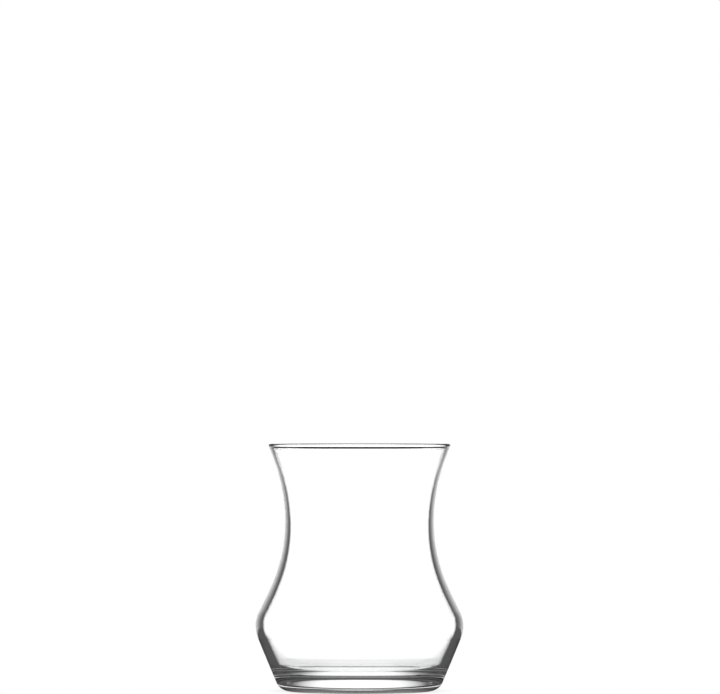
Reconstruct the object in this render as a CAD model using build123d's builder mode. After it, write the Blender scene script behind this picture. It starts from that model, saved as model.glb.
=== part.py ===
"""Chai glass: one revolved wall of clear glass, with a heavy base, a belly, a nipped waist and a flared mouth.

Millimetres, +Z up, origin at the centre of the foot. The outside and the inside of the wall are drawn by the
same function, each through its own belly, waist and mouth, so that the glass thins from the heel to the rim.
"""
import os
from math import asin, atan2, degrees, pi, radians, tan

from build123d import *

# Outside of the glass, diameters to the outer surface
height = 81.7
foot_diameter = 52.6
foot_round = 4.6
belly_diameter = 68.8
belly_height = 21.4
belly_round = 11.0
shoulder_straight = 8.4
waist_diameter = 49.2
waist_height = 56.0
mouth_diameter = 60.1
mouth_straight = 5.7

# Thickness of the glass, from the heel up to the mouth
base_thickness = 6.4
heel_wall = 3.15
belly_wall = 2.4
waist_wall = 1.6
mouth_wall = 1.25

# Inside of the glass
floor_rise = 0.2
floor_round = 5.5
bowl_belly_lift = 0.25
bowl_belly_round = 9.0
bowl_shoulder_straight = 6.9
bowl_waist_drop = 2.05
bowl_mouth_straight = 8.9

# Fire-polished bead that stands out from both sides of the wall at the rim
bead_out = 0.1
bead_in = 0.09
bead_notch_round = 0.35

# Underside: a shallow dish inside a flat resting ring
punt_depth = 1.7
ring_width = 2.5


def lean_from(foot, belly, belly_round):
    """Angle from upright, in degrees, of the straight that leaves the foot and just touches the belly's arc."""
    to_centre = belly - Vector(belly_round, 0) - foot
    return 90 - degrees(atan2(to_centre.Y, to_centre.X) - asin(belly_round / to_centre.length))


def round_and_turn(step, rise, straight):
    """Radius and turn, in degrees, of an arc that leaves upright and goes on as a straight of known length."""
    radius = (step**2 + rise**2 - straight**2) / (2 * step)
    return radius, degrees(atan2(rise, radius - step) - atan2(straight, radius))


def draw_side(foot, belly, belly_round, shoulder_straight, waist, mouth, mouth_straight):
    """Draw one side of the wall: heel, belly, shoulder, waist and mouth, each stretch tangent to the next."""
    lean = lean_from(foot, belly, belly_round)
    rounds, shoulder = round_and_turn(belly.X - waist.X, waist.Y - belly.Y, shoulder_straight)
    waist_round = rounds - belly_round
    flare_round, flare = round_and_turn(mouth.X - waist.X, mouth.Y - waist.Y, mouth_straight)
    over_belly = CenterArc(belly - Vector(belly_round, 0), belly_round, -lean, lean + shoulder)
    into_waist = CenterArc(waist + Vector(waist_round, 0), waist_round, 180 + shoulder, -shoulder)
    out_of_waist = CenterArc(waist + Vector(flare_round, 0), flare_round, 180, -flare)
    Line(foot, over_belly @ 0)
    Line(over_belly @ 1, into_waist @ 0)
    Line(out_of_waist @ 1, mouth)


# Points of the section, as distance from the axis and height
bead_radius = (mouth_wall + bead_out + bead_in) / 2
bead_centre = Vector(mouth_diameter / 2 + bead_out - bead_radius, height - bead_radius)
foot = Vector(foot_diameter / 2, 0)
belly = Vector(belly_diameter / 2, belly_height)
waist = Vector(waist_diameter / 2, waist_height)
mouth = Vector(mouth_diameter / 2, bead_centre.Y)

heel_lean = radians(lean_from(foot, belly, belly_round))
floor_edge = base_thickness + floor_rise
floor = Vector(foot.X + floor_edge * tan(heel_lean) - heel_wall, floor_edge)
bowl_belly = belly + Vector(-belly_wall, bowl_belly_lift)
bowl_waist = waist - Vector(waist_wall, bowl_waist_drop)
bowl_mouth = mouth - Vector(mouth_wall, 0)

ring_outer = foot.X - foot_round * tan((pi / 2 - heel_lean) / 2)
ring_inner = Vector(ring_outer - ring_width, 0)
punt_top = Vector(0, punt_depth)
floor_middle = Vector(0, base_thickness)

# The glass
with BuildPart() as tea_glass:
    with BuildSketch(Plane.XZ) as section:
        with BuildLine():
            TangentArc(punt_top, ring_inner, tangent=(1, 0))
            Line(ring_inner, foot)
            draw_side(foot, belly, belly_round, shoulder_straight, waist, mouth, mouth_straight)
            Line(mouth, bowl_mouth)
            draw_side(
                floor, bowl_belly, bowl_belly_round, bowl_shoulder_straight,
                bowl_waist, bowl_mouth, bowl_mouth_straight,
            )
            TangentArc(floor_middle, floor, tangent=(1, 0))
            Line(punt_top, floor_middle)
        make_face()
        fillet(section.vertices().sort_by_distance(foot)[0], foot_round)
        fillet(section.vertices().sort_by_distance(floor)[0], floor_round)
        with Locations(bead_centre):
            Circle(bead_radius)
        notches = section.vertices().filter_by(
            lambda v: v.Y < bead_centre.Y and (v.center() - bead_centre).length < 1.01 * bead_radius
        )
        fillet(notches, bead_notch_round)
    revolve(axis=Axis.Z)

os.makedirs("parts", exist_ok=True)
tea_glass.part.label = "tea_glass"
export_step(tea_glass.part, "parts/tea_glass.step")
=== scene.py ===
"""Chai glass: clear glass on a pale table, in plain soft light from panels round it.

Sizes are in millimetres, as in the part's source, and become metres where a mesh is made.
"""
from math import atan, atan2, cos, pi, radians, sin, sqrt, tan

import bpy
import numpy as np
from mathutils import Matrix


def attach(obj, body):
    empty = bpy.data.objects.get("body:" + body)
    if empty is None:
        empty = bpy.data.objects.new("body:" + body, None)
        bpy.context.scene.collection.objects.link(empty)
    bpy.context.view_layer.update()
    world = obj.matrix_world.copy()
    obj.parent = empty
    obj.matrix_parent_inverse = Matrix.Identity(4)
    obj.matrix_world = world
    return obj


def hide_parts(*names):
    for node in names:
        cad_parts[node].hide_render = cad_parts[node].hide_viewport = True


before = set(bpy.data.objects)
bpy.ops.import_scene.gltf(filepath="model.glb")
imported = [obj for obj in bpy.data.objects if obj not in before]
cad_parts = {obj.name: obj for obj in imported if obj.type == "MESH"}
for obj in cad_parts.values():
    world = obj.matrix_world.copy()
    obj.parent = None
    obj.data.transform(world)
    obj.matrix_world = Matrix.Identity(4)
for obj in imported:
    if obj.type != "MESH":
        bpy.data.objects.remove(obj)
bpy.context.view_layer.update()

MM = 0.001

# Outside of the glass
height = 81.7
foot_radius = 26.3
foot_round = 4.6
belly_radius = 34.4
belly_height = 21.4
belly_round = 11.0
shoulder_straight = 8.4
waist_radius = 24.6
waist_height = 56.0
mouth_radius = 30.05
mouth_straight = 5.7

# Thickness and inside of the glass
base_thickness = 6.4
heel_wall = 3.15
belly_wall = 2.4
waist_wall = 1.6
mouth_wall = 1.25
floor_rise = 0.2
floor_round = 5.5
bowl_belly_lift = 0.25
bowl_belly_round = 9.0
bowl_shoulder_straight = 6.9
bowl_waist_drop = 2.05
bowl_mouth_straight = 8.9

# Bead of the rim, and the dish under the foot
bead_out = 0.1
bead_in = 0.09
bead_notch_round = 0.35
punt_depth = 1.7
ring_width = 2.5

# Points round the glass, and along each stretch of its section
segments_round = 256
punt_points = 14
ring_points = 5
heel_points = 24
heel_straight_points = 6
straight_points = 5
belly_points = 36
waist_points = 24
notch_points = 8
bead_points = 76
corner_points = 28
floor_points = 24

# Glass: how far it bends light, the faint waves of the mould and the tint that drifts with them
bending = 1.51
waves_across = 90.0
waves_up = 35.0
waves_strength = 0.001
waves_depth = 0.001
deep_tint = (0.98, 0.985, 0.983, 1.0)
pale_tint = (0.99, 0.995, 0.993, 1.0)

# Places of the Mix node's sockets for colours, whose names it repeats
mix_share = 0
mix_first = 6
mix_second = 7
mix_colour = 2

# Camera: distance, height of view over the foot, and the photograph's frame
image_width = 720
image_height = 694
camera_distance = 2000.0
view_elevation = radians(2.7)
mm_per_pixel = 0.33105
axis_column = 359.5
foot_row = 690.8
sensor_width = 36.0
sight_metres = 100.0

# Light: a flat panel behind the glass and a round screen about both, bright low down and in the middle
white = (1.0, 1.0, 1.0, 1.0)
panel_distance = 180.0
panel_half_width = 180.0
panel_height = 150.0
panel_level = 1.2
panel_bright_to = 25.0
panel_dark_from = 150.0
panel_side_level = 0.12
panel_fade_from = 80.0
panel_fade_to = 100.0
screen_radius = 260.0
screen_height = 150.0
screen_segments = 128
screen_level = 1.1
screen_near = 235.0
screen_far = 244.0
base_height = 3.0
most_climb = 45.0

# Light: what a ray sees by its way through the glass, where each wall has two surfaces
through_level = 2.2
plain_level = 1.0
room_level = 0.05
caught_level = 0.1
surfaces_of_both_walls = 4
caught_after = 3

# Light: the bright strip of the table under the glass
table_half = 3000.0
table_level = 1.05
table_bright_to = 11.0
table_dark_from = 24.0
table_side_level = 0.09
strip_from_axis = 34.0
strip_end = 44.0

# Light: the table as it is seen through both walls, and the soft shadow at the foot
near_table = 25.0
far_table = 150.0
near_level = 0.85
shadow_reach = 5.0
shadow_depth = 0.15
shadow_samples = 16

# Light: the table as the bead of the far rim sees it, by the height that a ray comes down from
rim_from = 77.0
rim_soft = 3.0
rim_level = 0.25
rim_dark_to = 16.0
rim_bright_from = 26.0
rim_reach = 130.0
rim_end = 160.0

# Bounces that the light may make
most_bounces = 32
glass_bounces = 24


def point(across, up):
    """A point of the section, as distance from the axis and height."""
    return np.array([across, up])


def run(start, end, count):
    """Straight stretch: start + share * (end - start), share going evenly from 0 up to, but without, 1."""
    share = np.linspace(0, 1, count, endpoint=False)[:, None]
    return start + share * (end - start)


def bend(centre, radius, start, end, count):
    """Arc: centre + radius * (cos, sin) of an angle that goes evenly from start up to, but without, end."""
    angles = np.linspace(start, end, count, endpoint=False)
    return centre + radius * np.stack([np.cos(angles), np.sin(angles)], axis=1)


def heading(vector):
    """Angle of a vector of the section, from level outwards, in radians."""
    return atan2(vector[1], vector[0])


def lean_from(foot, belly, belly_round):
    """Angle from upright of the straight that leaves the foot and just touches the belly's arc."""
    to_centre = belly - point(belly_round, 0) - foot
    return pi / 2 - (heading(to_centre) - np.arcsin(belly_round / np.linalg.norm(to_centre)))


def round_and_turn(step, rise, straight):
    """Radius and turn of an arc that leaves upright and goes on as a straight of known length."""
    radius = (step**2 + rise**2 - straight**2) / (2 * step)
    return radius, atan2(rise, radius - step) - atan2(straight, radius)


def ball_on(line_point, along, outwards, ball, centre, reach):
    """Centre of a ball that rolls on a line, on its outwards side, and is held at a reach from a centre.

    It is line_point + outwards * ball + along * t, with t the lower root of |that - centre| = reach.
    """
    start = line_point + outwards * ball
    offset = start - centre
    half = offset @ along
    t = -half - sqrt(half**2 - offset @ offset + reach**2)
    return start + along * t


def wall_side(start, belly, belly_round, shoulder_straight, waist, mouth, mouth_straight, end):
    """One side of the wall, from start on its heel straight to end on its mouth straight.

    Heel straight, belly arc, shoulder straight, two waist arcs and mouth straight, each tangent to the next.
    """
    lean = lean_from(start, belly, belly_round)
    rounds, shoulder = round_and_turn(belly[0] - waist[0], waist[1] - belly[1], shoulder_straight)
    waist_round = rounds - belly_round
    flare_round, flare = round_and_turn(mouth[0] - waist[0], mouth[1] - waist[1], mouth_straight)
    belly_centre = belly - point(belly_round, 0)
    lower_centre = waist + point(waist_round, 0)
    upper_centre = waist + point(flare_round, 0)
    over_belly = bend(belly_centre, belly_round, -lean, shoulder, belly_points)
    into_waist = bend(lower_centre, waist_round, pi + shoulder, pi, waist_points)
    out_of_waist = bend(upper_centre, flare_round, pi, pi - flare, waist_points)
    shoulder_end = belly_centre + belly_round * point(cos(shoulder), sin(shoulder))
    flare_end = upper_centre + flare_round * point(-cos(flare), sin(flare))
    return np.concatenate([
        run(start, over_belly[0], heel_straight_points),
        over_belly,
        run(shoulder_end, into_waist[0], straight_points),
        into_waist,
        out_of_waist,
        run(flare_end, end, straight_points),
        end[None],
    ])


def glass_section():
    """Outline of the glass, from the middle of the underside up, over the rim and down to the floor.

    It is a chain of the straight stretches and arcs below, each tangent to the next.
    """
    foot = point(foot_radius, 0)
    belly = point(belly_radius, belly_height)
    waist = point(waist_radius, waist_height)
    bead_radius = (mouth_wall + bead_out + bead_in) / 2
    bead_centre = point(mouth_radius + bead_out - bead_radius, height - bead_radius)
    mouth = point(mouth_radius, bead_centre[1])

    # Foot: dish, resting ring and rounded heel
    heel_lean = lean_from(foot, belly, belly_round)
    heel_along = point(sin(heel_lean), cos(heel_lean))
    heel_tangent = foot_round * tan((pi / 2 - heel_lean) / 2)
    heel_centre = point(foot_radius - heel_tangent, foot_round)
    ring_inner = point(heel_centre[0] - ring_width, 0)
    punt_round = (ring_inner[0]**2 + punt_depth**2) / (2 * punt_depth)
    punt_turn = np.arcsin(ring_inner[0] / punt_round)
    punt_centre = point(0, punt_depth - punt_round)
    punt = bend(punt_centre, punt_round, pi / 2, pi / 2 - punt_turn, punt_points)
    punt[0] = point(0, punt_depth)
    ring = run(ring_inner, point(heel_centre[0], 0), ring_points)
    heel = bend(heel_centre, foot_round, -pi / 2, -heel_lean, heel_points)

    # Bead: the wall runs into it on both sides through a small hollow
    flare = round_and_turn(mouth[0] - waist[0], mouth[1] - waist[1], mouth_straight)[1]
    bowl_belly = belly + point(-belly_wall, bowl_belly_lift)
    bowl_waist = waist - point(waist_wall, bowl_waist_drop)
    bowl_mouth = mouth - point(mouth_wall, 0)
    bowl_flare = round_and_turn(
        bowl_mouth[0] - bowl_waist[0], bowl_mouth[1] - bowl_waist[1], bowl_mouth_straight
    )[1]
    reach = bead_radius + bead_notch_round
    out_along = point(sin(flare), cos(flare))
    out_normal = point(cos(flare), -sin(flare))
    in_along = point(sin(bowl_flare), cos(bowl_flare))
    in_normal = point(-cos(bowl_flare), sin(bowl_flare))
    out_ball = ball_on(mouth, out_along, out_normal, bead_notch_round, bead_centre, reach)
    in_ball = ball_on(bowl_mouth, in_along, in_normal, bead_notch_round, bead_centre, reach)
    bead_start = heading(out_ball - bead_centre)
    bead_end = heading(in_ball - bead_centre) % (2 * pi)
    out_notch = bend(out_ball, bead_notch_round, pi - flare, heading(bead_centre - out_ball), notch_points)
    bead = bend(bead_centre, bead_radius, bead_start, bead_end, bead_points)
    in_notch = bend(in_ball, bead_notch_round, heading(bead_centre - in_ball), -bowl_flare, notch_points)

    # Floor: a shallow dish that runs into the bowl through a round corner
    floor_edge = base_thickness + floor_rise
    floor = point(foot_radius + floor_edge * tan(heel_lean) - heel_wall, floor_edge)
    bowl_lean = lean_from(floor, bowl_belly, bowl_belly_round)
    bowl_along = point(sin(bowl_lean), cos(bowl_lean))
    bowl_normal = point(-cos(bowl_lean), sin(bowl_lean))
    dish_round = (floor[0]**2 + floor_rise**2) / (2 * floor_rise)
    dish_centre = point(0, base_thickness + dish_round)
    corner_reach = dish_round - floor_round
    corner_ball = ball_on(floor, bowl_along, bowl_normal, floor_round, dish_centre, corner_reach)
    dish_end = heading(corner_ball - dish_centre)
    corner = bend(corner_ball, floor_round, -bowl_lean, dish_end, corner_points)
    dish = bend(dish_centre, dish_round, dish_end, -pi / 2, floor_points)

    outside = wall_side(
        foot + heel_along * heel_tangent, belly, belly_round, shoulder_straight,
        waist, mouth, mouth_straight, out_ball - out_normal * bead_notch_round,
    )
    inside = wall_side(
        corner_ball - bowl_normal * floor_round, bowl_belly, bowl_belly_round, bowl_shoulder_straight,
        bowl_waist, bowl_mouth, bowl_mouth_straight, in_ball - in_normal * bead_notch_round,
    )
    return np.concatenate([
        punt, ring, heel, outside[:-1], out_notch, bead, in_notch, inside[:0:-1], corner, dish,
        point(0, base_thickness)[None],
    ])


def lathe(name, section, segments):
    """Mesh of a section turned round the axis: (r cos a, r sin a, z), with a fan at each of its ends."""
    turned = section[1:-1]
    angles = np.linspace(0, 2 * pi, segments, endpoint=False)
    across = turned[:, 0][:, None]
    up = np.broadcast_to(turned[:, 1][:, None], (len(turned), segments))
    rings = np.stack([across * np.cos(angles), across * np.sin(angles), up], axis=-1).reshape(-1, 3)
    ends = np.array([[0, 0, section[0, 1]], [0, 0, section[-1, 1]]])
    around = np.arange(segments)
    onwards = (around + 1) % segments
    level = (np.arange(len(turned) - 1) * segments)[:, None]
    quads = np.stack([
        level + around, level + onwards, level + segments + onwards, level + segments + around
    ], axis=-1).reshape(-1, 4)
    last = (len(turned) - 1) * segments
    first_fan = np.stack([np.full(segments, len(rings)), onwards, around], axis=-1)
    last_fan = np.stack([np.full(segments, len(rings) + 1), last + around, last + onwards], axis=-1)
    faces = quads.tolist() + first_fan.tolist() + last_fan.tolist()
    mesh = bpy.data.meshes.new(name)
    mesh.from_pydata((np.concatenate([rings, ends]) * MM).tolist(), [], faces)
    mesh.polygons.foreach_set("use_smooth", np.ones(len(faces), dtype=bool))
    mesh.update()
    piece = bpy.data.objects.new(name, mesh)
    bpy.context.scene.collection.objects.link(piece)
    return piece


def flat_sheet(name, corners):
    """Mesh of one flat four-sided sheet through its corners, in millimetres."""
    mesh = bpy.data.meshes.new(name)
    mesh.from_pydata((np.array(corners) * MM).tolist(), [], [[0, 1, 2, 3]])
    mesh.update()
    sheet = bpy.data.objects.new(name, mesh)
    bpy.context.scene.collection.objects.link(sheet)
    return sheet


def band(name, radius, high, segments):
    """Mesh of an upright round band about the axis: (r cos a, r sin a) at the table and again at its top."""
    angles = np.linspace(0, 2 * pi, segments, endpoint=False)
    level = np.stack([radius * np.cos(angles), radius * np.sin(angles), np.zeros(segments)], axis=1)
    around = np.arange(segments)
    onwards = (around + 1) % segments
    faces = np.stack([around, onwards, segments + onwards, segments + around], axis=1)
    mesh = bpy.data.meshes.new(name)
    mesh.from_pydata((np.concatenate([level, level + [0, 0, high]]) * MM).tolist(), [], faces.tolist())
    mesh.update()
    sheet = bpy.data.objects.new(name, mesh)
    bpy.context.scene.collection.objects.link(sheet)
    return sheet


class Wire:
    """A socket of a finish, with operators that add Math nodes."""

    def __init__(self, finish, socket):
        self.finish = finish
        self.socket = socket

    def maths(self, operation, *terms):
        return self.finish.node("ShaderNodeMath", {"operation": operation}, dict(enumerate(terms)))

    def __add__(self, other):
        return self.maths("ADD", self, other)

    __radd__ = __add__

    def __sub__(self, other):
        return self.maths("SUBTRACT", self, other)

    def __rsub__(self, other):
        return self.maths("SUBTRACT", other, self)

    def __mul__(self, other):
        return self.maths("MULTIPLY", self, other)

    __rmul__ = __mul__

    def __gt__(self, other):
        return self.maths("GREATER_THAN", self, other)

    def __lt__(self, other):
        return self.maths("LESS_THAN", self, other)

    def __abs__(self):
        return self.maths("ABSOLUTE", self)

    def highest(self, other):
        return self.maths("MAXIMUM", self, other)

    def lowest(self, other):
        return self.maths("MINIMUM", self, other)

    def root(self):
        return self.maths("SQRT", self)

    def fade(self, start, end, at_start, at_end):
        """Smooth change from at_start to at_end as the value goes from start to end."""
        return self.finish.node(
            "ShaderNodeMapRange", {"interpolation_type": "SMOOTHSTEP"},
            {"Value": self, "From Min": start, "From Max": end, "To Min": at_start, "To Max": at_end},
        )


class Finish:
    """Node tree of a material or of the world."""

    def __init__(self, owner):
        owner.use_nodes = True
        self.tree = owner.node_tree
        self.tree.nodes.clear()

    def node(self, kind, settings=None, sockets=None, output=0):
        """A node of a kind, with its settings, then the values or links of its sockets, as one output."""
        made = self.tree.nodes.new(kind)
        for name, value in (settings or {}).items():
            setattr(made, name, value)
        for name, value in (sockets or {}).items():
            if isinstance(value, Wire):
                self.tree.links.new(value.socket, made.inputs[name])
            else:
                made.inputs[name].default_value = value
        return Wire(self, made.outputs[output]) if len(made.outputs) else made

    def parts(self, vector):
        """The three numbers of a vector."""
        split = self.node("ShaderNodeSeparateXYZ", None, {"Vector": vector}).socket.node
        return [Wire(self, out) for out in split.outputs]

    def ray(self, name):
        """One fact about the ray that sees the surface."""
        return self.node("ShaderNodeLightPath", None, None, name)

    def lit(self, level, behind, beside):
        """Level that a ray sees by its way through the glass.

        Straight through both walls it sees what lies behind, straight through one wall what lies beside,
        reflected in the glass the level of the light itself, and caught in the glass a dim level.
        """
        reflections = self.ray("Glossy Depth")
        straight = reflections < 1
        both_walls = self.ray("Transmission Depth") > surfaces_of_both_walls - 1
        free = reflections < caught_after
        bent = free * level + (1 - free) * caught_level
        return bent.highest(straight * (both_walls * behind).highest(beside))


def clear_glass():
    """Clear soda-lime glass: fire-polished, with faint waves from the mould and a tint that drifts."""
    material = bpy.data.materials.new("clear_glass")
    finish = Finish(material)
    place = finish.node("ShaderNodeTexCoord", None, None, "Object")
    stretch = (waves_across, waves_across, waves_up)
    stretched = finish.node("ShaderNodeMapping", None, {"Vector": place, "Scale": stretch})
    waves = finish.node("ShaderNodeTexNoise", None, {"Vector": stretched, "Scale": 1.0, "Detail": 1.0})
    wavy = finish.node("ShaderNodeBump", None, {
        "Height": waves, "Strength": waves_strength, "Distance": waves_depth,
    })
    tint = finish.node("ShaderNodeMix", {"data_type": "RGBA"}, {
        mix_share: waves, mix_first: deep_tint, mix_second: pale_tint,
    }, mix_colour)
    glass = finish.node("ShaderNodeBsdfPrincipled", None, {
        "Base Color": tint,
        "Roughness": 0.0,
        "IOR": bending,
        "Transmission Weight": 1.0,
        "Normal": wavy,
    })
    finish.node("ShaderNodeOutputMaterial", None, {"Surface": glass})
    return material


def glow(finish, level):
    """White light of a level that the finish works out."""
    light = finish.node("ShaderNodeEmission", None, {"Color": white, "Strength": level})
    finish.node("ShaderNodeOutputMaterial", None, {"Surface": light})


def panel_light():
    """Soft light of the panel: bright in the middle and fading to its upright edges and to its top."""
    material = bpy.data.materials.new("panel_light")
    finish = Finish(material)
    place = finish.parts(finish.node("ShaderNodeTexCoord", None, None, "Object"))
    aside, up = place[0], place[2]
    low = up.fade(panel_fade_from * MM, panel_fade_to * MM, 1.0, 0.0)
    lit = abs(aside).fade(panel_bright_to * MM, panel_dark_from * MM, panel_level, panel_side_level)
    glow(finish, finish.lit((lit * low).highest(room_level), through_level, low * plain_level))
    return material


def screen_light():
    """Soft light of the screen: bright for rays from the far side of the glass, dim for its flanks.

    A ray passes the axis at the same distance before and after a round glass, and the longer its level run
    to the screen, the more it comes from a flank.
    """
    material = bpy.data.materials.new("screen_light")
    finish = Finish(material)
    up = finish.parts(finish.node("ShaderNodeTexCoord", None, None, "Object"))[2]
    low = up.fade(panel_fade_from * MM, panel_fade_to * MM, 1.0, 0.0)
    climb = (up - base_height * MM).highest(0.0).lowest(most_climb * MM)
    length = finish.ray("Ray Length")
    level_run = (length * length - climb * climb).root()
    lit = level_run.fade(screen_near * MM, screen_far * MM, screen_level, panel_side_level)
    glow(finish, finish.lit((lit * low).highest(room_level), through_level, low * plain_level))
    return material


def pale_table():
    """Pale table: white where it is seen, with a soft shadow at the foot and a bright strip under it.

    The bead of the far rim sees it dim: its rays come down from above rim_from, so they are longer than the
    slope from there to where they end.
    """
    material = bpy.data.materials.new("pale_table")
    finish = Finish(material)
    place = finish.node("ShaderNodeTexCoord", None, None, "Object")
    away = finish.node("ShaderNodeVectorMath", {"operation": "LENGTH"}, {0: place}, "Value")
    parts = finish.parts(place)
    aside, along = abs(parts[0]), abs(parts[1])
    strip = aside.fade(table_bright_to * MM, table_dark_from * MM, table_level, table_side_level)
    under = away.fade(strip_from_axis * MM, strip_end * MM, 1.0, 0.0)
    lit = (strip * under).highest(table_side_level)
    behind = away.fade(near_table * MM, far_table * MM, near_level, through_level)
    outwards = along - ((mouth_radius * MM)**2 - aside * aside).highest(0.0).root()
    over = finish.ray("Ray Length") - (outwards * outwards + (rim_from * MM)**2).root()
    middle = aside.fade(rim_dark_to * MM, rim_bright_from * MM, 1.0, 0.0)
    near = away.fade(rim_reach * MM, rim_end * MM, 1.0, 0.0)
    dimmed = over.fade(0.0, rim_soft * MM, 0.0, plain_level - rim_level)
    beside = plain_level - dimmed * middle * near
    open_sky = finish.node("ShaderNodeAmbientOcclusion", {"samples": shadow_samples}, {
        "Distance": shadow_reach * MM,
    }, "AO")
    seen = finish.ray("Is Camera Ray")
    shade = 1 - shadow_depth * (1 - open_sky)
    glow(finish, seen * shade + (1 - seen) * finish.lit(lit, behind, beside))
    return material


def white_room():
    """Room round the table: white behind the glass for the camera, dim to what the glass bends aside."""
    world = bpy.data.worlds.new("white_room")
    finish = Finish(world)
    level = finish.ray("Is Camera Ray").highest(finish.lit(room_level, through_level, 0.0))
    sky = finish.node("ShaderNodeBackground", None, {"Color": white, "Strength": level})
    finish.node("ShaderNodeOutputWorld", None, {"Surface": sky})
    bpy.context.scene.world = world


def unseen(light, material):
    """Stage piece that lights the glass and isn't seen by the camera."""
    light.data.materials.append(material)
    light.visible_camera = False
    light.visible_diffuse = False
    light.visible_shadow = False


# The glass
glass = lathe("glass_wall", glass_section(), segments_round)
glass.data.materials.append(clear_glass())
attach(glass, "root")
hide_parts("tea_glass")

# The table, the panel behind the glass and the screen round them
table = flat_sheet("table", [
    (-table_half, -table_half, 0), (table_half, -table_half, 0),
    (table_half, table_half, 0), (-table_half, table_half, 0),
])
table.data.materials.append(pale_table())

panel = flat_sheet("panel", [
    (-panel_half_width, panel_distance, 0), (panel_half_width, panel_distance, 0),
    (panel_half_width, panel_distance, panel_height), (-panel_half_width, panel_distance, panel_height),
])
unseen(panel, panel_light())
unseen(band("screen", screen_radius, screen_height, screen_segments), screen_light())

white_room()

# The camera
pixels_long = camera_distance / mm_per_pixel
camera_data = bpy.data.cameras.new("camera")
camera_data.sensor_width = sensor_width
camera_data.lens = sensor_width * pixels_long / image_width
camera_data.clip_end = sight_metres
camera = bpy.data.objects.new("camera", camera_data)
foot_below = atan((foot_row - image_height / 2) / pixels_long)
camera.location = (
    (image_width / 2 - axis_column) * mm_per_pixel * MM,
    -camera_distance * MM,
    camera_distance * tan(view_elevation) * MM,
)
camera.rotation_euler = (pi / 2 + foot_below - view_elevation, 0, 0)
bpy.context.scene.collection.objects.link(camera)
bpy.context.scene.camera = camera

scene = bpy.context.scene
scene.view_settings.view_transform = "Standard"
scene.cycles.max_bounces = most_bounces
scene.cycles.glossy_bounces = glass_bounces
scene.cycles.transmission_bounces = glass_bounces
